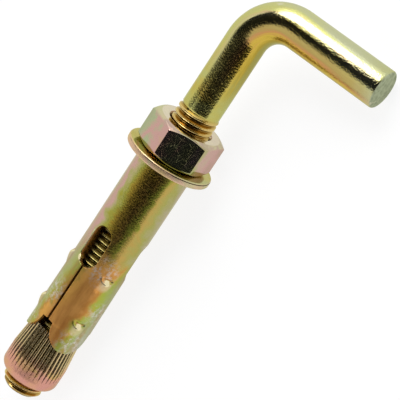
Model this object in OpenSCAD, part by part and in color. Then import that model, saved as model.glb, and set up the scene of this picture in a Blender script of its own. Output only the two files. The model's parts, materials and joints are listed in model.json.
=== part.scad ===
// Hook anchor bolt. A rod bent to a hook carries a rolled thread, a nut and a washer. A slit sleeve
// hangs below the washer in the drilled hole, and a serrated cone nut on the rod's end spreads it.
// Each piece is drawn upright, with the wall's face at z = 0, the hook above it and the arm along +X.
// All of them are then laid down together, as the anchor comes to rest on a level floor.

/* [Hook rod] */
// Diameter of the plain shank and of the arm
rod_d = 9.3; // [8:0.1:9.7]
// Diameter over the crests of the rolled thread
thread_d = 9.85; // [9.75:0.05:11]
// Distance from the wall to the arm's centre line, where it meets the shank's
hook_reach = 41.9; // [36:0.1:80]
// Length of the arm from that meeting point to its sheared end
arm_len = 32.3; // [24:0.5:60]
// Radius of the bend, to the rod's centre line
bend_r = 9.5; // [7:0.1:10]
// Thickness that the rod loses all round where it is bent
bend_thinning = 0.05; // [0.02:0.01:0.2]
// Angle by which the arm rises away from the wall
arm_lift = 3; // [0:0.5:10]
// Rounding of the arm's sheared edge
arm_edge = 0.9; // [0.3:0.1:2]
// Length of thread left free above the nut
free_thread = 4.5; // [2:0.1:8]
// Length of the run-out from the thread's crests down to the shank
thread_runout = 0.8; // [0.3:0.1:1.5]
// Length of rod that stands out of the cone nut
tail_len = 3.1; // [1.5:0.1:8]
// Chamfer on the rod's threaded end
tail_chamfer = 1; // [0.4:0.1:1.5]

/* [Nut and washer] */
// Nut's width across its flats
nut_af = 16; // [15:0.5:19]
// Nut's height
nut_h = 8.4; // [6:0.1:10]
// Diameter of the nut's flat end faces, inside the corner chamfers
nut_face_d = 15.1; // [14:0.1:15.4]
// Slope of the nut's corner chamfers
nut_slope = 30; // [20:1:40]
// Depth of the countersink at each end of the nut's thread
nut_sink = 0.6; // [0.2:0.1:1]
// Gap between the rod's thread and the threads of the nut and the cone nut
thread_gap = 0.05; // [0.02:0.01:0.1]
// Outer diameter of the washer
washer_d = 21; // [19:0.5:26]
// Thickness of the washer
washer_t = 1.6; // [1:0.1:3]
// Rounding of the washer's stamped edges
washer_edge = 0.35; // [0.1:0.05:0.5]
// Gap between the rod's thread and the washer's hole
washer_gap = 0.3; // [0.2:0.05:0.8]

/* [Sleeve] */
// Length of the sleeve
sleeve_len = 50.2; // [44:0.5:90]
// Thickness of the sleeve's sheet
sleeve_wall = 0.95; // [0.7:0.05:1.2]
// Gap between the rod's thread and the sleeve's bore
sleeve_gap = 0.82; // [0.3:0.02:1.5]
// Outward spread of the finger tips from the sleeve's straight part
finger_spread = 0.25; // [0:0.05:0.5]
// Number of fingers, with a slit and a window between each two
finger_count = 3; // [2:1:4]
// Angle of the first slit about the rod, from the arm
slit_angle = -96; // [-180:1:180]
// Width of the slits
slit_w = 0.55; // [0.3:0.05:1.2]
// Width of the notch between two rounded finger tips
notch_w = 3.4; // [2:0.1:4]
// Length of the windows
window_len = 10.7; // [7:0.1:14]
// Width of the windows
window_w = 5.2; // [3:0.1:6]
// Distance from the sleeve's top to the windows
window_drop = 18.8; // [10:0.1:24]
// Width of the butt seam where the rolled sheet closes
seam_w = 0.25; // [0.1:0.05:0.5]

/* [Bumps on the sleeve] */
// Height of the half-sheared bumps
bump_h = 0.55; // [0.3:0.05:0.8]
// Width of the bumps
bump_w = 4.4; // [3:0.1:5.5]
// Length over which a bump runs out
bump_len = 3; // [2:0.1:4.5]
// Radius of the punch that shears the bump's lip
punch_r = 3.2; // [2.9:0.1:5]
// Distance from the finger tips to the lower lips
bump_rise = 7.8; // [6:0.1:12]
// Distance between the two rows of lips
bump_step = 12.5; // [8:0.1:16]

/* [Cone nut] */
// Half angle of the cone
cone_angle = 6; // [4:0.5:9]
// Length of the cone that stands inside the finger tips
cone_in = 2.7; // [1:0.1:6]
// Length of the cone below the finger tips
cone_show = 5.7; // [3:0.1:10]
// Length of the straight barrel below the cone, with its rounded end
barrel_len = 6.1; // [4:0.1:10]
// Rounding of the barrel's end
barrel_round = 2; // [1:0.1:2.1]
// Thickness left at the finger tips by their conical seat
tip_wall = 0.5; // [0.3:0.05:0.7]
// Gap between the cone and the fingers' seat
seat_gap = 0.1; // [0.05:0.01:0.2]
// Number of serrations around the cone
serrations = 40; // [24:1:48]
// Depth of the serrations
serration_depth = 0.35; // [0.2:0.05:0.5]
// Share of a serration's width that its groove takes
groove_share = 0.6; // [0.5:0.05:0.95]

/* [Hidden] */
$fn = 64;
// Overlap by which a cutter passes the face that it opens
over = 1;

rod_r = rod_d / 2;
thread_r = thread_d / 2;
tapped_r = thread_r + thread_gap;

// Rod: the bend turns the shank's direction into the arm's
bend_angle = 90 - arm_lift;
bend_tangent = bend_r * tan(bend_angle / 2);
thread_top = washer_t + nut_h + free_thread;

// Nut
nut_corner_r = nut_af / 2 / cos(30);
nut_face_r = nut_face_d / 2;
nut_chamfer = (nut_corner_r - nut_face_r) * tan(nut_slope);

// Sleeve
bore_r = thread_r + sleeve_gap;
sleeve_r = bore_r + sleeve_wall;
tip_r = sleeve_r + finger_spread;
finger_angle = 360 / finger_count;
lobe_r = PI * tip_r / finger_count - notch_w / 2;
flare_top = window_drop + window_len;
lobe_step = 10;

// Cone nut: its cone follows the fingers' seat
cone_tip_r = tip_r - tip_wall - seat_gap;
cone_top_r = cone_tip_r - cone_in * tan(cone_angle);
barrel_r = cone_tip_r + cone_show * tan(cone_angle);
cone_top = cone_in - sleeve_len;
barrel_top = -sleeve_len - cone_show;
barrel_end = barrel_top - barrel_len;
rod_end = barrel_end - tail_len;
serration_width = 2 * PI * barrel_r / serrations;
serration_fade = serration_depth / sin(cone_angle);

// Rest pose: the washer's rim, the cone nut's end and the arm's edge touch the floor
rim_r = washer_d / 2 - washer_edge;
run = washer_edge - (barrel_end + barrel_round);
rise = rim_r - (barrel_r - barrel_round);
pitch = atan2(rise, run) + asin((washer_edge - barrel_round) / norm([run, rise]));
axis_height = rim_r * cos(pitch) + washer_edge * (1 - sin(pitch));
edge_x = (arm_len - arm_edge) * sin(bend_angle);
edge_z = hook_reach + (arm_len - arm_edge) * cos(bend_angle);
edge_r = rod_r - arm_edge;
roll = asin(arm_dip(0, 8));
arm_dir_x = cos(bend_angle) * cos(pitch) + sin(bend_angle) * sin(roll) * sin(pitch);
arm_dir_y = -sin(bend_angle) * cos(roll);
high_x = edge_z * cos(pitch) + edge_x * sin(roll) * sin(pitch) + edge_r * cos(asin(arm_dir_x)) + arm_edge;
low_x = rod_end * cos(pitch) - (thread_r - tail_chamfer) * sin(pitch);
low_y = -edge_x * cos(roll) - edge_r * cos(asin(arm_dir_y)) - arm_edge;
high_y = washer_d / 2;

// Sine of the roll at which the arm's edge touches the floor, by repeated correction
function arm_slope(dip) = cos(bend_angle) * sin(pitch) - sin(bend_angle) * dip * cos(pitch);
function arm_dip(dip, left) =
    left == 0 ? dip
    : arm_dip((axis_height + edge_z * sin(pitch) - arm_edge - edge_r * cos(asin(arm_slope(dip))))
              / (edge_x * cos(pitch)), left - 1);

// Sleeve's outer radius at a distance below its top
function wall_r(depth) = lookup(depth, [[0, sleeve_r], [flare_top, sleeve_r], [sleeve_len, tip_r]]);

// Point on a rounded finger tip, seen square to the slit. The tip is a half circle in the flat sheet
// that is rolled about the rod.
function lobe_point(turn) =
    [tip_r * sin(finger_angle / 2 - lobe_r * cos(turn) / tip_r * 180 / PI), lobe_r * (1 - sin(turn))];

// Cutter that rounds a corner, with the rounding's centre at the origin
module corner_cut(edge) {
    difference() {
        square(edge + over);
        circle(r = edge);
    }
}

// Section of a stamped strip with four rounded edges
module strip_section(inner, outer, height, edge) {
    translate([inner, edge]) square([outer - inner, height - 2 * edge]);
    translate([inner + edge, 0]) square([outer - inner - 2 * edge, height]);
    for (x = [inner + edge, outer - edge])
        for (y = [edge, height - edge])
            translate([x, y]) circle(r = edge);
}

// Half section of a nut's tapped hole with a countersink at each end
module tapped_section(low, high, sink) {
    translate([0, low - over]) square([tapped_r, high - low + 2 * over]);
    polygon([[0, low], [tapped_r + sink, low], [tapped_r, low + sink], [0, low + sink]]);
    polygon([[0, high], [tapped_r + sink, high], [tapped_r, high - sink], [0, high - sink]]);
}

// Outline of a slot with round ends, standing on its lower end
module slot_outline(width, length) {
    translate([-width / 2, width / 2]) square([width, length - width]);
    for (y = [width / 2, length - width / 2])
        translate([0, y]) circle(d = width);
}

// Outline of the notch between two finger tips
module notch_outline() {
    right = [for (turn = [90 : -lobe_step : 0]) lobe_point(turn)];
    left = [for (turn = [0 : lobe_step : 90]) [-lobe_point(turn)[0], lobe_point(turn)[1]]];
    floor_line = [[-tip_r, 0], [-tip_r, -over], [tip_r, -over], [tip_r, 0]];
    polygon(concat(right, left, floor_line));
}

// Cuts an outline straight out through the wall on the +X side
module through_wall() {
    rotate([90, 0, 90]) linear_extrude(tip_r + over) children();
}

// Repeats a feature at each slit, or halfway between slits
module at_slits(offset = 0) {
    for (i = [0 : finger_count - 1])
        rotate(slit_angle + offset + i * finger_angle) children();
}

// Pressed dome of one bump, on the +X side, cut by the round lip of its punch
module bump_form(depth) {
    wall = wall_r(depth);
    half_w = bump_w / 2;
    sag = bump_h + wall - sqrt(pow(wall, 2) - pow(half_w, 2));
    across_r = (pow(half_w, 2) + pow(sag, 2)) / (2 * sag);
    along_r = (pow(bump_len, 2) + pow(bump_h, 2)) / (2 * bump_h);
    difference() {
        intersection() {
            translate([wall + bump_h - along_r, 0, -depth]) rotate([90, 0, 0]) rotate_extrude()
                translate([along_r - across_r, 0]) circle(r = across_r);
            translate([wall - 2 * sleeve_wall, -half_w, -depth - bump_len])
                cube([wall, bump_w, bump_len + punch_r]);
        }
        translate([0, 0, punch_r - depth]) rotate([0, 90, 0]) cylinder(r = punch_r, h = 2 * wall);
    }
}

// Both rows of bumps, one on each finger, moved in by a depth
module bump_rows(inwards) {
    for (row = [0, 1])
        at_slits(finger_angle / 2) translate([-inwards, 0, 0])
            bump_form(sleeve_len - bump_rise - row * bump_step);
}

// Outside of the tube that the sheet is rolled to, spread towards its finger tips
module sleeve_outside() {
    rotate_extrude() polygon([[0, 0], [sleeve_r, 0], [sleeve_r, -flare_top], [tip_r, -sleeve_len],
                              [0, -sleeve_len]]);
}

// Inside of the tube, opened out to the cone's seat
module sleeve_inside() {
    rotate_extrude() polygon([[0, over], [bore_r, over], [bore_r, -flare_top],
                              [tip_r - sleeve_wall, -sleeve_len],
                              [tip_r - sleeve_wall, -sleeve_len - over], [0, -sleeve_len - over]]);
    translate([0, 0, -sleeve_len]) cylinder(r1 = tip_r - tip_wall, r2 = 0,
                                            h = (tip_r - tip_wall) / tan(cone_angle));
}

// Lays the upright anchor down on the floor, with the middle of its footprint at the origin
module lay_down() {
    translate([-(low_x + high_x) / 2, -(low_y + high_y) / 2, axis_height])
        rotate([0, -pitch, 0]) rotate([roll - 90, 0, 0]) rotate([0, 90, 0]) children();
}

// Rod with a threaded shank, bent to a hook and sheared off. The straight parts reach into the bend by
// no more than its thinning hides.
module hook_bolt() {
    bend_z = hook_reach - bend_tangent;
    reach_in = 2 * bend_thinning;
    color("#b5a866") lay_down() {
        rotate_extrude() polygon([[0, rod_end], [thread_r - tail_chamfer, rod_end],
                                  [thread_r, rod_end + tail_chamfer],
                                  [thread_r, thread_top - thread_runout], [rod_r, thread_top],
                                  [rod_r, bend_z + reach_in], [0, bend_z + reach_in]]);
        translate([bend_r, 0, bend_z]) rotate([90, 0, 180]) rotate_extrude(angle = bend_angle)
            translate([bend_r, 0]) circle(r = rod_r - bend_thinning);
        translate([0, 0, hook_reach]) rotate([0, bend_angle, 0]) rotate_extrude() difference() {
            translate([0, bend_tangent - reach_in]) square([rod_r, arm_len - bend_tangent + reach_in]);
            translate([edge_r, arm_len - arm_edge]) corner_cut(arm_edge);
        }
    }
}

// Hexagon nut, chamfered at both ends, with one pair of flats square to the arm
module hex_nut() {
    color("#8f7f6a") lay_down() translate([0, 0, washer_t]) difference() {
        intersection() {
            rotate(30) cylinder(r = nut_corner_r, h = nut_h, $fn = 6);
            rotate_extrude() polygon([[0, 0], [nut_face_r, 0], [nut_corner_r, nut_chamfer],
                                      [nut_corner_r, nut_h - nut_chamfer], [nut_face_r, nut_h],
                                      [0, nut_h]]);
        }
        rotate_extrude() tapped_section(0, nut_h, nut_sink);
    }
}

// Plain stamped washer that bears on the wall
module washer() {
    color("#b3a368") lay_down() rotate_extrude()
        strip_section(thread_r + washer_gap, washer_d / 2, washer_t, washer_edge);
}

// Rolled sleeve with slits, windows and half-sheared bumps, which are hollow behind
module sleeve() {
    color("#a08a4c") lay_down() difference() {
        union() {
            sleeve_outside();
            bump_rows(0);
        }
        sleeve_inside();
        bump_rows(sleeve_wall);
        at_slits() {
            translate([0, -slit_w / 2, -sleeve_len - over])
                cube([tip_r + over, slit_w, sleeve_len + over - window_drop - window_len / 2]);
            translate([0, 0, -flare_top]) through_wall() slot_outline(window_w, window_len);
            translate([0, 0, -sleeve_len]) through_wall() notch_outline();
        }
        rotate(slit_angle - finger_angle) translate([0, -seam_w / 2, -window_drop - window_len / 2])
            cube([tip_r + over, seam_w, window_drop + window_len / 2 + over]);
    }
}

// Tapped cone nut with straight serrations that fade out on its barrel
module cone_nut() {
    groove = serration_width * groove_share / 2;
    color("#7d7148") lay_down() difference() {
        rotate_extrude() difference() {
            polygon([[0, cone_top], [cone_top_r, cone_top], [barrel_r, barrel_top],
                     [barrel_r, barrel_end], [0, barrel_end]]);
            translate([barrel_r - barrel_round, barrel_end + barrel_round])
                mirror([0, 1]) corner_cut(barrel_round);
        }
        for (i = [0 : serrations - 1])
            rotate(i * 360 / serrations) translate([barrel_r, 0, barrel_top])
                rotate([0, -cone_angle, 0]) translate([0, 0, -serration_fade])
                    linear_extrude(serration_fade + 2 * (cone_show + cone_in))
                        polygon([[-serration_depth, 0], [serration_depth, 2 * groove],
                                 [serration_depth, -2 * groove]]);
        rotate_extrude() tapped_section(barrel_end, cone_top, nut_sink);
    }
}

hook_bolt();
hex_nut();
washer();
sleeve();
cone_nut();
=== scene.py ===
import json
from math import atan2, ceil, cos, exp, hypot, pi, radians, sin, sqrt, tan

import bmesh
import bpy
from mathutils import Matrix, Vector


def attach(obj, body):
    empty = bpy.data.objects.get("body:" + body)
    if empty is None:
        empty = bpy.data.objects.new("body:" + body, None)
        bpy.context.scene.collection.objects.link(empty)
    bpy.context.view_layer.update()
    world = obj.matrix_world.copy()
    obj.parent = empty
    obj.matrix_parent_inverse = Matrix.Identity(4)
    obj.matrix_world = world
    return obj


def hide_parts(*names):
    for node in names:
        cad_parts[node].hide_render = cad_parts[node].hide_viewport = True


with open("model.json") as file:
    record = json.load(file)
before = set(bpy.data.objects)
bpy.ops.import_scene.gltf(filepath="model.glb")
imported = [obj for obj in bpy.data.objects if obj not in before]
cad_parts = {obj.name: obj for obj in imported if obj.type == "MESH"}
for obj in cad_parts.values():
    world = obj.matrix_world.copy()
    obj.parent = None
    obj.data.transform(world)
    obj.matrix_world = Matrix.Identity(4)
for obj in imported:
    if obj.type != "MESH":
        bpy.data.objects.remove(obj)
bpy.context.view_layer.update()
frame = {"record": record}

# Hook bolt
# Round steel bar with a rolled M10 thread on its shank, bent cold to a square hook and sheared off at the
# arm. It is zinc plated and passivated yellow, like the other pieces, and the nut and the cone nut run on its
# thread.

# The record gives the rod's axis, the arm's direction and the point where the axis meets the wall. All pieces
# are made upright in millimetres, with that point at the origin, Z along the rod and X towards the arm.
mounts = {m["name"]: m for m in frame["record"]["mounts"]}
wall_point = Vector(mounts["drilled_hole"]["pos_m"])
axis = -Vector(mounts["drilled_hole"]["axis"])
arm = Vector(mounts["hook_arm"]["axis"])
across = axis.cross(arm).normalized()
turned = Matrix((across.cross(axis), across, axis))
upright = Matrix.Translation(wall_point) @ turned.transposed().to_4x4() @ Matrix.Scale(0.001, 4)

rod_r = 4.65
thread_r = 4.925
root_r = 4.15
fillet_r = 4.2
flank_foot_r = 4.32
flank_top_r = 4.8
fold_r = 4.84
pitch = 1.5
thread_top = 14.5
runout = 1.2
rod_end = -65.1
tail_chamfer = 1.0
bend_r = 9.5
hook_reach = 41.9
arm_len = 32.3
arm_edge = 0.6
shear_skin = 0.35
tail_shaded = -60
tail_open = -62
throat_middle = (15, 0, 36)
shank_grain = 0.015
arm_grain = 0.065
bend = axis.angle(arm)
bend_run = bend_r * tan(bend / 2)
bend_z = hook_reach - bend_run
arm_way = Vector((sin(bend), 0, cos(bend)))
arm_end = arm_len + hook_reach * cos(bend)


def eased(value, low, high):
    """Smooth step from 0 at low to 1 at high."""
    t = min(max((value - low) / (high - low), 0), 1)
    return t * t * (3 - 2 * t)


def sharp_edges(bm, angle):
    """Edges at which two faces meet at more than an angle in degrees."""
    return [e for e in bm.edges if len(e.link_faces) == 2 and e.calc_face_angle() > radians(angle)]


def set_radius(v, wanted):
    """Moves a vertex to a distance from the rod's axis."""
    r = hypot(v.co.x, v.co.y)
    v.co.x *= wanted / r
    v.co.y *= wanted / r


def stretched(bm, edges, move):
    """Extrudes a rim by a vector and returns the new rim's edges."""
    made = bmesh.ops.extrude_edge_only(bm, edges=edges)["geom"]
    points = [g for g in made if isinstance(g, bmesh.types.BMVert)]
    bmesh.ops.translate(bm, vec=move, verts=points)
    return [g for g in made if isinstance(g, bmesh.types.BMEdge) and all(v in points for v in g.verts)]


def piece(bm, name, material, angle=35):
    """Lays a finished mesh down in its place and makes it an object."""
    bmesh.ops.recalc_face_normals(bm, faces=bm.faces)
    if bm.calc_volume(signed=True) < 0:
        bmesh.ops.reverse_faces(bm, faces=bm.faces)
    bmesh.ops.transform(bm, matrix=upright, verts=bm.verts)
    mesh = bpy.data.meshes.new(name)
    bm.to_mesh(mesh)
    bm.free()
    mesh.shade_smooth()
    mesh.set_sharp_from_angle(angle=radians(angle))
    mesh.materials.append(material)
    made = bpy.data.objects.new(name, mesh)
    bpy.context.scene.collection.objects.link(made)
    return made


def linear(code):
    """Linear colour of an sRGB hex code."""
    parts = [int(code[i:i + 2], 16) / 255 for i in (1, 3, 5)]
    return [c / 12.92 if c <= 0.04045 else ((c + 0.055) / 1.055) ** 2.4 for c in parts] + [1]


def add(tree, kind, inputs=(), stops=(), **settings):
    """Adds one shader node. An input is a value, another node or one of its output sockets."""
    made = tree.nodes.new("ShaderNode" + kind)
    for key, value in settings.items():
        setattr(made, key, value)
    for key, value in dict(inputs).items():
        if isinstance(value, bpy.types.Node):
            value = next(s for s in value.outputs if s.enabled)
        if isinstance(value, bpy.types.NodeSocket):
            tree.links.new(value, made.inputs[key])
        else:
            made.inputs[key].default_value = value
    for i, (at, code) in enumerate(stops):
        element = made.color_ramp.elements[i] if i < 2 else made.color_ramp.elements.new(at)
        element.position = at
        element.color = linear(code)
    return made


def plated(name):
    """New zinc-plated material, with what its look is built from.

    That is its tree, its shader, the place on the upright anchor in millimetres, that place's three parts and
    its distance from the rod's axis.
    """
    made = bpy.data.materials.new(name)
    made.use_nodes = True
    tree = made.node_tree
    shader = tree.nodes["Principled BSDF"]
    shader.inputs["Metallic"].default_value = 1
    shader.inputs["Specular Tint"].default_value = linear("#e9ead6")
    shown = add(tree, "TexCoord").outputs["Object"]
    place = add(tree, "Mapping", {"Vector": shown, "Location": turned @ wall_point * -1000,
                                  "Rotation": turned.to_euler(), "Scale": (1000, 1000, 1000)})
    where = add(tree, "SeparateXYZ", {"Vector": place})
    flat = add(tree, "CombineXYZ", {"X": where.outputs["X"], "Y": where.outputs["Y"]})
    out = add(tree, "VectorMath", {0: flat}, operation="LENGTH").outputs["Value"]
    return made, tree, shader, place, where, out


def zinc_layer(tree, shader, place, hue, matt, peel, dulled=0.0):
    """Lays a hue on the shader, with pale rubbed edges, dull specks and an orange peel.

    Matt is the roughness between the specks and in them, peel the width and depth of the orange peel in
    millimetres, and dulled is where the layer is rougher. Specks and peel are drawn coarser than they are, so
    that they show.
    """
    edge = add(tree, "NewGeometry").outputs["Pointiness"]
    rubbed = add(tree, "MapRange", {0: edge, 1: 0.54, 2: 0.62, 4: 0.6}, interpolation_type="SMOOTHSTEP")
    worn = add(tree, "Mix", {0: rubbed, 6: hue, 7: linear("#d9d5ba")}, data_type="RGBA")
    tree.links.new(worn.outputs[2], shader.inputs["Base Color"])
    specks = add(tree, "TexNoise", {"Vector": place, "Scale": 1 / 0.4, "Detail": 2, "Roughness": 0.6})
    dull = add(tree, "MapRange", {0: specks, 1: 0.42, 2: 0.68, 3: matt[0], 4: matt[1]},
               interpolation_type="SMOOTHSTEP")
    dull = add(tree, "Math", {0: dulled, 1: 0.3, 2: dull}, operation="MULTIPLY_ADD")
    tree.links.new(dull.outputs["Value"], shader.inputs["Roughness"])
    uneven = add(tree, "TexNoise", {"Vector": place, "Scale": 1 / peel[0], "Detail": 2, "Roughness": 0.5})
    deep = add(tree, "Math", {0: peel[1], 1: 0.001}, operation="MULTIPLY")
    raised = add(tree, "Bump", {"Height": uneven, "Distance": deep, "Strength": 1})
    tree.links.new(raised.outputs["Normal"], shader.inputs["Normal"])


# Drawn bar under yellow zinc: pale green outside, with the film's gold and olive bands round the inside of
# the bend, a browner thread with painted shade in its roots and inside the sleeve, and a grey sheared face at
# the arm's end
zinc, tree, shader, place, where, out = plated("rod_yellow_zinc")
film = add(tree, "TexNoise", {"Vector": place, "Scale": 1 / 7, "Detail": 3, "Roughness": 0.55,
                              "Distortion": 0.6})

# The film is gold on the shank and paler out along the arm
gold = add(tree, "ValToRGB", {"Fac": film}, [(0.35, "#c3a950"), (0.47, "#bdb25c"), (0.6, "#b8b76e")])
pale = add(tree, "ValToRGB", {"Fac": film}, [(0.35, "#b8b470"), (0.5, "#b6ba84"), (0.65, "#bcc39c")])
reach = add(tree, "MapRange", {0: where.outputs["X"], 1: 4, 2: 20})
pale = add(tree, "Mix", {0: reach, 6: gold, 7: pale}, data_type="RGBA")

# Round the throat it lies in bands, by the distance out from the bend's middle, drawn out along the bar
beside = add(tree, "Math", {0: bend_r, 1: where.outputs["X"]}, operation="SUBTRACT")
beside = add(tree, "Math", {0: beside, 1: 0.0}, operation="MAXIMUM")
beyond = add(tree, "Math", {0: where.outputs["Z"], 1: bend_z}, operation="SUBTRACT")
beyond = add(tree, "Math", {0: beyond, 1: 0.0}, operation="MAXIMUM")
outward = add(tree, "CombineXYZ", {"X": beside, "Y": beyond})
outward = add(tree, "VectorMath", {0: outward}, operation="LENGTH")
length = add(tree, "Math", {0: where.outputs["X"], 1: where.outputs["Z"]}, operation="ADD")
length = add(tree, "Math", {0: length, 1: 0.1}, operation="MULTIPLY")
drawn = add(tree, "CombineXYZ", {"X": outward.outputs["Value"], "Y": where.outputs["Y"], "Z": length})
drawn = add(tree, "TexNoise", {"Vector": drawn, "Scale": 1 / 1.6, "Detail": 3, "Roughness": 0.6})
outward = add(tree, "Math", {0: drawn, 1: 4.0, 2: outward.outputs["Value"]}, operation="MULTIPLY_ADD")
outward = add(tree, "MapRange", {0: outward, 1: bend_r - rod_r + 2, 2: bend_r + rod_r + 2})
bands = add(tree, "ValToRGB", {"Fac": outward}, [
    (0.0, "#9f9750"), (0.08, "#aa9438"), (0.16, "#ccae48"), (0.24, "#c49c4e"), (0.3, "#c08e58"),
    (0.4, "#b09858"), (0.6, "#bcae68"), (0.76, "#cfc594"), (0.8, "#d0b48a"), (0.86, "#c9c97e"),
    (1.0, "#bfc19a")])
throat = add(tree, "VectorMath", {0: place, 1: throat_middle}, operation="DISTANCE")
throat = add(tree, "Math", {0: film, 1: 5.0, 2: throat.outputs["Value"]}, operation="MULTIPLY_ADD")
inside = add(tree, "MapRange", {0: throat, 1: 27, 2: 15}, interpolation_type="SMOOTHSTEP")
bar = add(tree, "Mix", {0: inside, 6: pale, 7: bands}, data_type="RGBA")

# Painted shade: the thread is darker in its roots, and darker inside the sleeve and cone nut than where it
# lies open above the washer and below the cone nut
crest = add(tree, "MapRange", {0: out, 1: root_r, 2: thread_r})
ribs_painted_shade = add(tree, "ValToRGB", {"Fac": crest}, [(0.0, "#5c4d20"), (0.5, "#84743a"), (1.0, "#a89a5c")])
bright = add(tree, "ValToRGB", {"Fac": crest}, [(0.0, "#8a6a30"), (0.5, "#b6934a"), (1.0, "#dcc27e")])
outer = add(tree, "MapRange", {0: where.outputs["Z"], 1: 0, 2: 3})
tail = add(tree, "MapRange", {0: where.outputs["Z"], 1: tail_shaded, 2: tail_open})
outer = add(tree, "Math", {0: outer, 1: tail}, operation="MAXIMUM")
ribs_painted_shade = add(tree, "Mix", {0: outer, 6: ribs_painted_shade, 7: bright}, data_type="RGBA")
above = add(tree, "MapRange", {0: where.outputs["Z"], 1: thread_top - 1, 2: thread_top})
hue = add(tree, "Mix", {0: above, 6: ribs_painted_shade, 7: bar}, data_type="RGBA")

# The sheared end is torn and dull, and the bar's grain is deeper on the arm than on the shank
along = add(tree, "VectorMath", {0: place, 1: arm_way}, operation="DOT_PRODUCT")
sheared = add(tree, "MapRange", {0: along.outputs["Value"], 1: arm_end - shear_skin, 2: arm_end - 0.1})
torn = add(tree, "TexNoise", {"Vector": place, "Scale": 1 / 1.2, "Detail": 4, "Roughness": 0.6})
grey = add(tree, "ValToRGB", {"Fac": torn}, [(0.35, "#878f74"), (0.6, "#aab294")])
hue = add(tree, "Mix", {0: sheared, 6: hue, 7: grey}, data_type="RGBA")
dulled = add(tree, "MapRange", {0: outer, 3: 0.5, 4: 0.2})
dulled = add(tree, "Mix", {0: above, 2: dulled, 3: 0.0})
dulled = add(tree, "Math", {0: dulled, 1: sheared}, operation="MAXIMUM")
coarse = add(tree, "MapRange", {0: where.outputs["X"], 1: 0, 2: 10, 3: shank_grain, 4: arm_grain})
zinc_layer(tree, shader, place, hue, (0.1, 0.18), (0.42, coarse), dulled)

# The thread is one turn's section, with the shallow fold that rolling leaves on the crest, swept up the rod
# with the pitch. It fades into the plain bar at its top and into the chamfer at the rod's end.
bm = bmesh.new()
half = [(root_r, 0), (fillet_r, 0.14), (flank_foot_r, 0.24), (flank_top_r, 0.5), (thread_r, 0.58),
        (thread_r, 0.66)]
section = half + [(fold_r, pitch / 2)] + [(r, pitch - h) for r, h in reversed(half)]
points = [bm.verts.new((r, 0, rod_end - pitch + h)) for r, h in section]
lines = [bm.edges.new(pair) for pair in zip(points, points[1:])]
ring = 56
bmesh.ops.spin(bm, geom=points + lines, axis=(0, 0, 1), dvec=(0, 0, pitch / ring), angle=2 * pi, steps=ring)
one_turn = bm.verts[:] + bm.edges[:] + bm.faces[:]
for i in range(1, ceil((thread_top - rod_end) / pitch) + 2):
    copied = bmesh.ops.duplicate(bm, geom=one_turn)["geom"]
    points = [g for g in copied if isinstance(g, bmesh.types.BMVert)]
    bmesh.ops.translate(bm, vec=(0, 0, i * pitch), verts=points)
bmesh.ops.remove_doubles(bm, verts=bm.verts, dist=0.02)
for v in bm.verts:
    r = hypot(v.co.x, v.co.y)
    wanted = r + (rod_r - r) * eased(v.co.z, thread_top - runout, thread_top - 0.1)
    set_radius(v, min(wanted, thread_r - tail_chamfer + max(v.co.z - rod_end, 0)))
for height, side in ((thread_top, 1), (rod_end, -1)):
    bmesh.ops.bisect_plane(bm, geom=bm.verts[:] + bm.edges[:] + bm.faces[:], dist=0.001,
                           plane_co=(0, 0, height), plane_no=(0, 0, side), clear_outer=True)
rims = [e for e in bm.edges if e.is_boundary]
bmesh.ops.holes_fill(bm, edges=[e for e in rims if e.verts[0].co.z < 0], sides=0)

# The bar goes on up the shank, round the bend and along the arm
rim = stretched(bm, [e for e in rims if e.verts[0].co.z > 0], (0, 0, bend_z - thread_top))
last = bmesh.ops.spin(bm, geom=rim, cent=(bend_r, 0, bend_z), axis=(0, 1, 0), angle=bend, steps=32)
rim = [g for g in last["geom_last"] if isinstance(g, bmesh.types.BMEdge)]
rim = stretched(bm, rim, arm_way * (arm_len - bend_run))
bmesh.ops.holes_fill(bm, edges=rim, sides=0)
bmesh.ops.bevel(bm, geom=rim, offset=arm_edge, segments=6, profile=0.5, affect="EDGES", material=-1)
rod = piece(bm, "rod", zinc)
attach(rod, "hook_bolt")
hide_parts("hook_bolt")

# Washer
# Plain round washer stamped from sheet, with a rolled-over upper edge, zinc plated and passivated yellow.
# It lies loose on the rod between the nut and the wall.
washer_r = 10.5
washer_bore = 5.225
washer_t = 1.6
washer_edge = 0.42
painted_line_drop = 0.32
painted_line_half = 0.11

# Pressed sheet: the face yellow olive, the sheared rim a paler pink and tan, with a painted dark line on it
# just below the rolled edge, a painted reflection of the dark opening overhead
zinc, tree, shader, place, where, out = plated("washer_yellow_zinc")
film = add(tree, "TexNoise", {"Vector": place, "Scale": 1 / 6, "Detail": 3, "Roughness": 0.55,
                              "Distortion": 0.5})
face = add(tree, "ValToRGB", {"Fac": film}, [(0.35, "#b9ac58"), (0.5, "#c4ba70"), (0.65, "#b9b981")])
rim_hue = add(tree, "ValToRGB", {"Fac": film}, [(0.35, "#d8bd8c"), (0.5, "#deb9a0"), (0.65, "#cfc39a")])
outside = add(tree, "MapRange", {0: out, 1: washer_r - 0.3, 2: washer_r - 0.05})
hue = add(tree, "Mix", {0: outside, 6: face, 7: rim_hue}, data_type="RGBA")
# Painted reflection: a dark line round the rim just below the rolled edge
line = add(tree, "Math", {0: where.outputs["Z"], 1: washer_t - painted_line_drop, 2: painted_line_half},
           operation="COMPARE")
line = add(tree, "Math", {0: line, 1: outside}, operation="MULTIPLY")
kept = add(tree, "MapRange", {0: film, 1: 0.4, 2: 0.5, 4: 0.9})
line = add(tree, "Math", {0: line, 1: kept}, operation="MULTIPLY")
hue = add(tree, "Mix", {0: line, 6: hue, 7: linear("#2e2312")}, data_type="RGBA")
zinc_layer(tree, shader, place, hue, (0.14, 0.26), (0.35, 0.008), outside)


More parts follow.
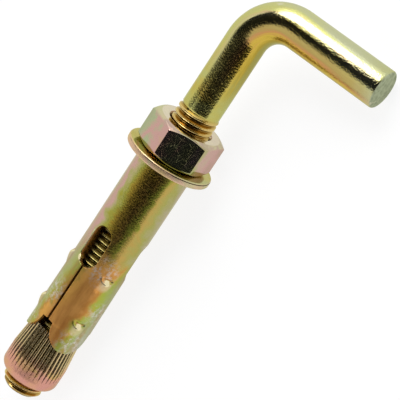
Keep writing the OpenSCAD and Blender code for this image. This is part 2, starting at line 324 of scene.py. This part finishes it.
def spun(outline, steps):
    """Mesh of a closed outline, given as radius and height, spun round the rod's axis."""
    bm = bmesh.new()
    points = [bm.verts.new((r, 0, z)) for r, z in outline]
    lines = [bm.edges.new(pair) for pair in zip(points, points[1:] + points[:1])]
    bmesh.ops.spin(bm, geom=points + lines, axis=(0, 0, 1), angle=2 * pi, steps=steps, use_merge=True)
    return bm


bm = spun([(washer_bore, 0), (washer_r, 0), (washer_r, washer_t), (washer_bore, washer_t)], 120)
bmesh.ops.bevel(bm, geom=sharp_edges(bm, 60), offset=washer_edge, segments=5, profile=0.5, affect="EDGES",
                material=-1)
washer = piece(bm, "washer_ring", zinc)
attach(washer, "washer")
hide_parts("washer")

# Hexagon nut
# M10 nut, cold formed and chamfered at both ends, tapped with a countersink at each end, zinc plated and
# passivated yellow. Turning it draws the rod and the cone nut up.
nut_h = 8.4
nut_af = 16
nut_face_r = 7.55
nut_chamfer = radians(30)
nut_edge = 0.22
edge_room = 0.4
tapped_r = 4.975
nut_sink = 0.6
sink_r = tapped_r + nut_sink
nut_top = washer_t + nut_h

# Cold-formed flats, nearly mirrors, under a film that turns from pink to green, with pale hairline scratches
zinc, tree, shader, place, where, out = plated("nut_yellow_zinc")
film = add(tree, "TexNoise", {"Vector": place, "Scale": 1 / 4, "Detail": 3, "Roughness": 0.6,
                              "Distortion": 0.6})

# The film's colours go round the nut and are paler at its top, the flat faces inside the chamfers are painted
# lighter, a painted light that offsets the shadowed floor they mirror, and the countersink is brown
turn = add(tree, "Math", {0: where.outputs["Y"], 1: where.outputs["X"]}, operation="ARCTAN2")
band = add(tree, "Math", {0: turn, 1: 1 / (2 * pi), 2: 0.37}, operation="MULTIPLY_ADD")
band = add(tree, "Math", {0: film, 1: 0.26, 2: band}, operation="MULTIPLY_ADD")
band = add(tree, "Math", {0: band}, operation="FRACT")
hue = add(tree, "ValToRGB", {"Fac": band}, [
    (0.0, "#b8a98c"), (0.08, "#a6a886"), (0.13, "#a8b088"), (0.18, "#c59c92"), (0.23, "#c49a92"),
    (0.27, "#c4a284"), (0.31, "#a9a67a"), (0.4, "#aaa872"), (0.45, "#c7a69c"), (0.52, "#c8999a"),
    (0.6, "#b8948c"), (0.68, "#a8ab80"), (0.76, "#b9ac86"), (0.85, "#c59c92"), (1.0, "#b8a98c")])
upper = add(tree, "MapRange", {0: where.outputs["Z"], 1: nut_top - 1, 2: nut_top - 0.4, 4: 0.8})
crown = add(tree, "ValToRGB", {"Fac": film}, [(0.42, "#bca796"), (0.58, "#cbc69c")])
hue = add(tree, "Mix", {0: upper, 6: hue, 7: crown}, data_type="RGBA")
# Painted light: the flat end faces are lightened
painted_light_face = add(tree, "MapRange", {0: out, 1: nut_face_r, 2: nut_face_r - 0.3, 4: 0.8})
hue = add(tree, "Mix", {0: painted_light_face, 6: hue, 7: linear("#e4d6c6")}, data_type="RGBA")
sink = add(tree, "MapRange", {0: out, 1: sink_r, 2: sink_r - 0.2})
hue = add(tree, "Mix", {0: sink, 6: hue, 7: linear("#8c5f3c")}, data_type="RGBA")

# The scratches are broken stretches of the edges between cells of two sizes
scratch = 0.0
for size in (1.7, 3.1):
    cells = add(tree, "TexVoronoi", {"Vector": place, "Scale": 1 / size}, feature="DISTANCE_TO_EDGE")
    broken = add(tree, "TexNoise", {"Vector": place, "Scale": 1 / size, "Detail": 3})
    line = add(tree, "MapRange", {0: cells.outputs["Distance"], 1: 0.04 / size, 2: 0.015 / size})
    kept = add(tree, "MapRange", {0: broken, 1: 0.49, 2: 0.59, 4: 0.58})
    line = add(tree, "Math", {0: line, 1: kept}, operation="MULTIPLY")
    scratch = add(tree, "Math", {0: line, 1: scratch}, operation="MAXIMUM")
zinc_layer(tree, shader, place, hue, (0.07, 0.12), (0.35, 0.003), scratch)


def hexagon(turn):
    """Radius of the hexagon at an angle. One pair of flats is square to the arm."""
    return nut_af / 2 / cos((turn + pi / 6) % (pi / 3) - pi / 6)


def cut(turn):
    """Height that the chamfer takes off the hexagon at an angle."""
    return max(hexagon(turn) - nut_face_r, 0) * tan(nut_chamfer)


# The nut is spun as a round one, wider than its corners, and its side is then brought in to the hexagon and
# cut by the chamfers
round_r = nut_af
half = [(tapped_r, nut_sink), (sink_r, 0), (sink_r + 0.3, 0), (nut_face_r - edge_room, 0), (nut_face_r, 0),
        (round_r, 0), (round_r, edge_room)]
outline = [(r, washer_t + h) for r, h in half] + [(r, nut_top - h) for r, h in reversed(half)]
bm = spun(outline, 96)
for v in bm.verts:
    if hypot(v.co.x, v.co.y) > nut_face_r + edge_room:
        turn = atan2(v.co.y, v.co.x)
        v.co.z += cut(turn) if v.co.z < (washer_t + nut_top) / 2 else -cut(turn)
        set_radius(v, hexagon(turn))
bmesh.ops.recalc_face_normals(bm, faces=bm.faces)
bmesh.ops.bevel(bm, geom=sharp_edges(bm, 20), offset=nut_edge, segments=4, profile=0.5, affect="EDGES",
                material=-1)
nut = piece(bm, "nut", zinc)
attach(nut, "hex_nut")
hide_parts("hex_nut")

# Sleeve
# Steel strip, stamped flat with three windows, slits, round finger tips and six half-sheared bumps, then
# rolled to a tube with a butt seam at the back. It is zinc plated and passivated in bands of colour.
sleeve_len = 50.2
sleeve_wall = 0.95
sleeve_edge = 0.13
sleeve_r = 6.695
tip_r = 6.945
slit_angle = -96
slit_w = 0.55
notch_w = 3.4
window_drop = 18.8
window_len = 10.7
window_w = 5.2
window_end = window_w / 2
seam_w = 0.25
bump_h = 0.6
bump_w = 3.8
bump_len = 3
lip_hold = 0.5
lip_fade = 4
lip_rise = (-0.35, 0.45)
pit_d = 0.22
pit_w = 2.6
pit_up = 0.35
pit_side = 0.3
pit_fade = (0.1, 0.8)
punch_r = 3.2
bump_rows = (29.9, 42.4)
burr_h = 0.25
burr_r = 0.42
burr_reach = 0.6
burr_drop = 28.4
burr_turn = -112
burr_out = 6.7
seat_r = 6.445
cone_slope = tan(radians(6))
flare_top = window_drop + window_len
lobe_r = pi * tip_r / 3 - notch_w / 2
lobe_top = sleeve_len - lobe_r
tip_cut = 0.995

# Rolled strip whose film runs in bands along the tube, olive and gold above, browner and orange on the
# fingers. Knocks have rubbed the bumps and left whitish scuffs round them. The bumps' tops, the lips and the
# burr also carry a painted highlight, and the sheared sides are painted tan as painted light.
zinc, tree, shader, place, where, out = plated("sleeve_yellow_zinc")
turn = add(tree, "Math", {0: where.outputs["Y"], 1: where.outputs["X"]}, operation="ARCTAN2")
film = add(tree, "TexNoise", {"Vector": place, "Scale": 1 / 5, "Detail": 3, "Roughness": 0.55,
                              "Distortion": 0.5})
band = add(tree, "Math", {0: turn, 1: 1 / (2 * pi), 2: 0.395}, operation="MULTIPLY_ADD")
band = add(tree, "Math", {0: film, 1: 0.16, 2: band}, operation="MULTIPLY_ADD")
fleck = add(tree, "TexNoise", {"Vector": place, "Scale": 1 / 1.3, "Detail": 3, "Roughness": 0.6})
band = add(tree, "Math", {0: fleck, 1: 0.05, 2: band}, operation="MULTIPLY_ADD")
band = add(tree, "Math", {0: band}, operation="FRACT")
upper = add(tree, "ValToRGB", {"Fac": band}, [
    (0.0, "#a9a35c"), (0.05, "#b5a58a"), (0.145, "#c59d94"), (0.18, "#a9a46a"), (0.21, "#9c9a42"),
    (0.25, "#a48a34"), (0.31, "#94763a"), (0.36, "#8a8f36"), (0.39, "#b89c54"), (0.44, "#a6a35a"),
    (0.5, "#b3aa88"), (0.6, "#c59d94"), (0.7, "#9c9a42"), (0.85, "#b89c54"), (1.0, "#a9a35c")])
slant = add(tree, "Math", {0: where.outputs["Z"], 1: -0.004, 2: -0.14}, operation="MULTIPLY_ADD")
slant = add(tree, "Math", {0: slant, 1: band}, operation="ADD")
slant = add(tree, "Math", {0: slant}, operation="FRACT")
lower = add(tree, "ValToRGB", {"Fac": slant}, [
    (0.0, "#b08a4c"), (0.06, "#b7a78e"), (0.146, "#a9ad70"), (0.185, "#a8a94f"), (0.214, "#b89448"),
    (0.24, "#dca654"), (0.31, "#e6a85c"), (0.357, "#dc9f56"), (0.385, "#c98c46"), (0.405, "#c8a050"),
    (0.432, "#a9b348"), (0.475, "#a4ac70"), (0.56, "#b7b7a0"), (0.8, "#bb8048"), (1.0, "#b08a4c")])
height = add(tree, "Math", {0: film, 1: 6.0, 2: where.outputs["Z"]}, operation="MULTIPLY_ADD")
low_part = add(tree, "MapRange", {0: height, 1: -18, 2: -26}, interpolation_type="SMOOTHSTEP")
drawn = add(tree, "VectorMath", {0: place, 1: (1, 1, 0.2)}, operation="MULTIPLY")
drawn = add(tree, "TexNoise", {"Vector": drawn, "Scale": 1 / 1.8, "Detail": 4, "Roughness": 0.6})
drawn = add(tree, "MapRange", {0: drawn, 1: 0.45, 2: 0.7, 4: 0.55})
lower = add(tree, "Mix", {0: drawn, 6: lower, 7: linear("#b06f38")}, data_type="RGBA")
hue = add(tree, "Mix", {0: low_part, 6: upper, 7: lower}, data_type="RGBA")

# The scuffs lie round three places on each finger, given in millimetres across it and up it
finger = add(tree, "Math", {0: turn, 1: 1.5 / pi, 2: -slit_angle / 120 + 3}, operation="MULTIPLY_ADD")
finger = add(tree, "Math", {0: finger}, operation="FRACT")
finger = add(tree, "MapRange", {0: finger, 3: -pi * sleeve_r / 3, 4: pi * sleeve_r / 3})
strip = add(tree, "CombineXYZ", {"X": finger, "Y": where.outputs["Z"]})
scuff_r = 4.6
scuffs = ((-2, -28, 0), (3.6, -38.5, 0), (0.8, -47, 0))
far = scuff_r
for spot in scuffs:
    near = add(tree, "VectorMath", {0: strip, 1: spot}, operation="DISTANCE")
    far = add(tree, "Math", {0: near, 1: far}, operation="MINIMUM")
near = add(tree, "MapRange", {0: far, 1: scuff_r, 2: 1})
flaked = add(tree, "TexNoise", {"Vector": place, "Scale": 1 / 1.1, "Detail": 6, "Roughness": 0.75})
flaked = add(tree, "MapRange", {0: flaked, 1: 0.47, 2: 0.62, 4: 0.9})
scuff = add(tree, "Math", {0: near, 1: flaked}, operation="MULTIPLY")
hue = add(tree, "Mix", {0: scuff, 6: hue, 7: linear("#d6d1c8")}, data_type="RGBA")

# The bumps' tops stand proud of the wall and are painted pale, partly rubbed and partly a painted highlight.
# The sheared sides of windows and slits and the pits lie below its face and are painted tan, a painted light.
wall = add(tree, "MapRange", {0: where.outputs["Z"], 1: -flare_top, 2: -sleeve_len, 3: sleeve_r, 4: tip_r})
proud = add(tree, "Math", {0: out, 1: wall}, operation="SUBTRACT")
rubbed_and_highlit = add(tree, "MapRange", {0: proud, 1: 0.1, 2: 0.4, 4: 0.6})
hue = add(tree, "Mix", {0: rubbed_and_highlit, 6: hue, 7: linear("#dccda2")}, data_type="RGBA")
# Painted light: tan on the sheared sides and pits, below the wall's face
sheared = add(tree, "MapRange", {0: proud, 1: -0.1, 2: -0.25})
hue = add(tree, "Mix", {0: sheared, 6: hue, 7: linear("#cf9f5e")}, data_type="RGBA")

# The lips and the burr carry a painted highlight, bright and smooth
burr = (burr_out * cos(radians(burr_turn)), burr_out * sin(radians(burr_turn)), -burr_drop)
painted_glint = add(tree, "VectorMath", {0: place, 1: burr}, operation="DISTANCE")
for lip in bump_rows:
    near = add(tree, "VectorMath", {0: strip, 1: (0, -lip, 0)}, operation="DISTANCE")
    painted_glint = add(tree, "Math", {0: near, 1: painted_glint}, operation="MINIMUM")
painted_glint = add(tree, "MapRange", {0: painted_glint, 1: 0.85, 2: 0.5})
hue = add(tree, "Mix", {0: painted_glint, 6: hue, 7: linear("#e9dcb0")}, data_type="RGBA")
worked = add(tree, "Math", {0: low_part, 1: 0.7}, operation="MULTIPLY")
dulled = add(tree, "Math", {0: scuff, 1: worked}, operation="MAXIMUM")
dulled = add(tree, "Math", {0: dulled, 1: sheared}, operation="MAXIMUM")
dulled = add(tree, "Math", {0: dulled, 1: painted_glint}, operation="SUBTRACT", use_clamp=True)
zinc_layer(tree, shader, place, hue, (0.11, 0.21), (0.35, 0.01), dulled)


def wall_r(depth):
    """Sleeve's outer radius at a depth below the wall's face."""
    return sleeve_r + (tip_r - sleeve_r) * max(depth - flare_top, 0) / (sleeve_len - flare_top)


def half_width(depth, seam):
    """Half of a finger's width in the flat strip at a depth, less half of the seam where it has one."""
    pitch_half = pi * wall_r(depth) / 3
    if depth > lobe_top:
        return lobe_r * sqrt(1 - min((depth - lobe_top) / lobe_r, tip_cut) ** 2)
    if depth < window_drop:
        return pitch_half - seam
    off = max(window_end - (depth - window_drop), window_end - (flare_top - depth), 0)
    gap = max(sqrt(max(window_end ** 2 - off ** 2, 0)), seam)
    if depth > window_drop + window_end:
        gap = max(gap, slit_w / 2)
    return pitch_half - gap


def spread(low, high, count):
    """Evenly spaced values, without the last."""
    return [low + (high - low) * i / count for i in range(count)]


# Depths of the strip's rows of points, close together round the windows' ends, at the bumps and at the tips
rows = spread(0, window_drop, 14)
rows += [window_drop + window_end * (1 - cos(radians(a))) for a in range(0, 90, 9)]
rows += spread(window_drop + window_end, flare_top - window_end, 5)
rows += [flare_top - window_end + window_end * sin(radians(a)) for a in range(0, 84, 9)]
steps = [i / 10 for i in range(-13, 8)] + [1, 1.3, 1.6, 2, 2.4, 2.7, 3, 3.4]
for lip, below in zip(bump_rows, (bump_rows[1] - 1.5, lobe_top - 0.01)):
    rows += [lip + s for s in steps]
    rows += spread(rows[-1] + 0.4, below, 8)
rows = sorted({round(r, 4) for r in rows if r < lobe_top - 0.05})
rows += [lobe_top - 0.02]
rows += [lobe_top + lobe_r * sin(radians(a)) for a in range(1, 86, 6)]


def lip_drop(x):
    """How far a bump's round lip rises at a distance from its middle."""
    bounded = min(abs(x), bump_w / 2)
    return (sqrt(punch_r ** 2 - bounded ** 2) - punch_r) * (1 - eased(abs(x), bump_w / 2, bump_w))


# Each finger and the tube above it start as a flat grid, which is drawn to the stamped outline, pressed out
# at the bumps and rolled round. One finger has the burr, and two share the seam.
bm = bmesh.new()
columns = 64
for finger in range(3):
    made = bmesh.ops.create_grid(bm, x_segments=columns, y_segments=len(rows) - 1, size=1)["verts"]
    for v in made:
        share = v.co.x
        depth = rows[round((1 - v.co.y) / 2 * (len(rows) - 1))]
        seam = seam_w / 2 if (finger == 1 and share > 0) or (finger == 2 and share < 0) else 0
        wide = half_width(depth, seam)
        x = share * wide
        swell = 0
        if finger == 2:
            swell = burr_h * exp(-((wide - x) ** 2 + (depth - burr_drop) ** 2) / burr_r ** 2)
            x += burr_reach * swell / burr_h
        for lip in bump_rows:
            near = 1 - eased(abs(depth - lip), lip_hold, lip_fade)
            below = depth - lip
            depth += lip_drop(x) * near
            if below < bump_len and abs(x) < bump_w / 2:
                crown = (1 - (2 * x / bump_w) ** 2) * (1 - max(below / bump_len, 0) ** 2)
                swell += bump_h * crown * eased(below, *lip_rise)
                pit = 1 - eased(abs(below + pit_up), *pit_fade)
                pit *= 1 - eased(abs(x), pit_w / 2 - pit_side, pit_w / 2 + pit_side)
                swell -= pit_d * pit
        r = wall_r(depth) + swell
        turn = radians(slit_angle + 60 + 120 * finger) + x / wall_r(depth)
        v.co = (r * cos(turn), r * sin(turn), -depth)
bmesh.ops.remove_doubles(bm, verts=bm.verts, dist=0.01)

# The wall gets its thickness, and its inside follows the cone
made = bmesh.ops.extrude_face_region(bm, geom=bm.faces[:], use_keep_orig=True)["geom"]
for v in made:
    if isinstance(v, bmesh.types.BMVert):
        set_radius(v, max(wall_r(-v.co.z) - sleeve_wall, seat_r - (v.co.z + sleeve_len) * cone_slope))
bmesh.ops.recalc_face_normals(bm, faces=bm.faces)
bmesh.ops.bevel(bm, geom=sharp_edges(bm, 65), offset=sleeve_edge, segments=3, profile=0.5, affect="EDGES",
                material=-1)
sleeve = piece(bm, "sleeve_tube", zinc)
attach(sleeve, "sleeve")
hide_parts("sleeve")

# Cone nut
# Steel cone, cold formed with straight serrations that fade out on its round end, tapped M10, zinc plated and
# passivated yellow. The rod draws it up between the fingers.
cone_top = -47.5
cone_top_r = 6.061
barrel_r = 6.944
barrel_top = -55.9
barrel_end = -62
barrel_round = 2
serrations = 40
serration_depth = 0.35
serration_half = 0.327
serration_fade = 3.35

# Cold-formed steel: tan lands with painted shade in the grooves between them, and a smooth pink and salmon
# end
zinc, tree, shader, place, where, out = plated("cone_yellow_zinc")
film = add(tree, "TexNoise", {"Vector": place, "Scale": 1 / 4, "Detail": 3, "Roughness": 0.55,
                              "Distortion": 0.5})
lands = add(tree, "ValToRGB", {"Fac": film}, [(0.35, "#cbb684"), (0.55, "#d4ba88"), (0.7, "#d8b98f")])
side = add(tree, "MapRange", {0: where.outputs["Z"], 1: barrel_top, 2: cone_top, 3: barrel_r, 4: cone_top_r})
sunk = add(tree, "Math", {0: side, 1: out}, operation="SUBTRACT")
# Painted shade: the grooves are darkened
groove_shade = add(tree, "MapRange", {0: sunk, 1: 0.05, 2: 0.3, 4: 0.55})
teeth_with_shade = add(tree, "Mix", {0: groove_shade, 6: lands, 7: linear("#5d4f2a")}, data_type="RGBA")
round_end = add(tree, "ValToRGB", {"Fac": film}, [(0.35, "#cfa76c"), (0.48, "#d59c82"), (0.65, "#cf9488")])
share = add(tree, "MapRange", {0: where.outputs["Z"], 1: barrel_top - 1.6, 2: barrel_top + 2.2})
hue = add(tree, "Mix", {0: share, 6: round_end, 7: teeth_with_shade}, data_type="RGBA")
zinc_layer(tree, shader, place, hue, (0.2, 0.32), (0.35, 0.006))

outline = [(tapped_r, cone_top - nut_sink), (sink_r, cone_top)]
outline += [(barrel_r - (z - barrel_top) * cone_slope, z) for z in spread(cone_top, barrel_top, 8)]
outline += [(barrel_r, z) for z in spread(barrel_top, barrel_end + barrel_round, 14)]
outline += [(barrel_r - barrel_round + barrel_round * cos(radians(a)),
             barrel_end + barrel_round - barrel_round * sin(radians(a))) for a in range(0, 91, 10)]
outline += [(sink_r, barrel_end), (tapped_r, barrel_end + nut_sink)]
bm = spun(outline, serrations * 12)

# The serrations are V grooves that fade out on the round end
bore_side = cone_top_r - 0.2
for v in bm.verts:
    r = hypot(v.co.x, v.co.y)
    if r < bore_side:
        continue
    off = (atan2(v.co.y, v.co.x) * serrations / (2 * pi) + 0.5) % 1 - 0.5
    off = abs(off) * 2 * pi * barrel_r / serrations
    deep = serration_depth * (1 - max(barrel_top - v.co.z, 0) / serration_fade)
    set_radius(v, r - max(deep - off * serration_depth / serration_half, 0))
cone = piece(bm, "cone", zinc, 25)
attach(cone, "cone_nut")
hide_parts("cone_nut")

# Studio
# White table under even white light, with a dark oval opening overhead that the metal mirrors as a dark band.
# Beyond the hook stand a lamp and, behind it, a wider and weaker one.
floor_half = 3
floor_glow = 0.86
oval_half = (0.525, 1.5)
oval_middle = (0.235, -0.025)
oval_dark = "#24262d"
over = Vector((-0.027, -0.608, 0.793))

scene = bpy.context.scene
bm = bmesh.new()
bmesh.ops.create_grid(bm, x_segments=1, y_segments=1, size=floor_half)
mesh = bpy.data.meshes.new("floor")
bm.to_mesh(mesh)
bm.free()
floor = bpy.data.objects.new("floor", mesh)
scene.collection.objects.link(floor)
paper = bpy.data.materials.new("paper")
paper.use_nodes = True
tree = paper.node_tree
shader = tree.nodes["Principled BSDF"]
shader.inputs["Base Color"].default_value = linear("#777777")
shader.inputs["Roughness"].default_value = 1
shader.inputs["Specular IOR Level"].default_value = 0
shader.inputs["Emission Color"].default_value = linear("#ffffff")
path = add(tree, "LightPath")
seen = add(tree, "Math", {0: path.outputs["Is Camera Ray"], 1: path.outputs["Is Glossy Ray"]},
           operation="ADD")
glow = add(tree, "Math", {0: seen, 1: floor_glow}, operation="MULTIPLY")
tree.links.new(glow.outputs["Value"], shader.inputs["Emission Strength"])
mesh.materials.append(paper)

# The opening is an oval on one fixed side overhead, long across the rod. The camera itself sees plain white.
world = bpy.data.worlds.new("studio")
world.use_nodes = True
scene.world = world
tree = world.node_tree
sky = tree.nodes["Background"]
way = add(tree, "TexCoord").outputs["Generated"]
lengthwise = add(tree, "VectorMath", {0: way, 1: axis / oval_half[0]}, operation="DOT_PRODUCT")
sideways = add(tree, "VectorMath", {0: way, 1: axis.cross(over) / oval_half[1]}, operation="DOT_PRODUCT")
lengthwise = add(tree, "Math", {0: lengthwise, 1: oval_middle[0]}, operation="SUBTRACT")
sideways = add(tree, "Math", {0: sideways, 1: oval_middle[1]}, operation="SUBTRACT")
oval = add(tree, "CombineXYZ", {"X": lengthwise, "Y": sideways})
oval = add(tree, "VectorMath", {0: oval}, operation="LENGTH")
dark = add(tree, "MapRange", {0: oval, 1: 1.02, 2: 0.95}, interpolation_type="SMOOTHSTEP")
facing = add(tree, "VectorMath", {0: way, 1: over}, operation="DOT_PRODUCT")
facing = add(tree, "MapRange", {0: facing.outputs["Value"], 1: 0.05, 2: 0.15})
dark = add(tree, "Math", {0: dark, 1: facing}, operation="MULTIPLY")
path = add(tree, "LightPath")
unseen = add(tree, "Math", {0: 1.0, 1: path.outputs["Is Camera Ray"]}, operation="SUBTRACT")
dark = add(tree, "Math", {0: dark, 1: unseen}, operation="MULTIPLY")
shade = add(tree, "Mix", {0: dark, 6: linear("#ffffff"), 7: linear(oval_dark)}, data_type="RGBA")
tree.links.new(shade.outputs[2], sky.inputs["Color"])
sky.inputs["Strength"].default_value = 1

lamps = [("lamp", 0.38, 1.5, (0.374, 0.132, 0.38)), ("glow", 0.9, 1.0, (0.72, 0.3, 0.45))]
for name, size, power, spot in lamps:
    lamp = bpy.data.lights.new(name, "AREA")
    lamp.shape = "DISK"
    lamp.size = size
    lamp.energy = power
    shine = bpy.data.objects.new(name, lamp)
    shine.location = spot
    shine.rotation_euler = (-shine.location).to_track_quat("-Z", "Y").to_euler()
    scene.collection.objects.link(shine)

# Camera
# It looks down on the anchor from the hook's side, and is rolled so that the rod runs up to the right. Its
# focal length and its middle are in pixels of a square picture.
azimuth = radians(27.249)
height = radians(50.78)
roll = radians(76.062)
away = 0.554256
aimed_at = Vector((0, 0, 0.0105))
picture = 400
focal = 2522.169
middle = (173.756, 220.31)
back = Vector((sin(azimuth) * cos(height), -cos(azimuth) * cos(height), sin(height)))
eye = bpy.data.cameras.new("camera")
camera = bpy.data.objects.new("camera", eye)
scene.collection.objects.link(camera)
scene.camera = camera
eye.sensor_width = 36
eye.lens = eye.sensor_width * focal / picture
eye.shift_x = 0.5 - middle[0] / picture
eye.shift_y = middle[1] / picture - 0.5
eye.clip_start = 0.01
aim = back.to_track_quat("Z", "Y").to_matrix() @ Matrix.Rotation(-roll, 3, "Z")
camera.matrix_world = Matrix.Translation(aimed_at + back * away) @ aim.to_4x4()

scene.view_settings.view_transform = "Standard"
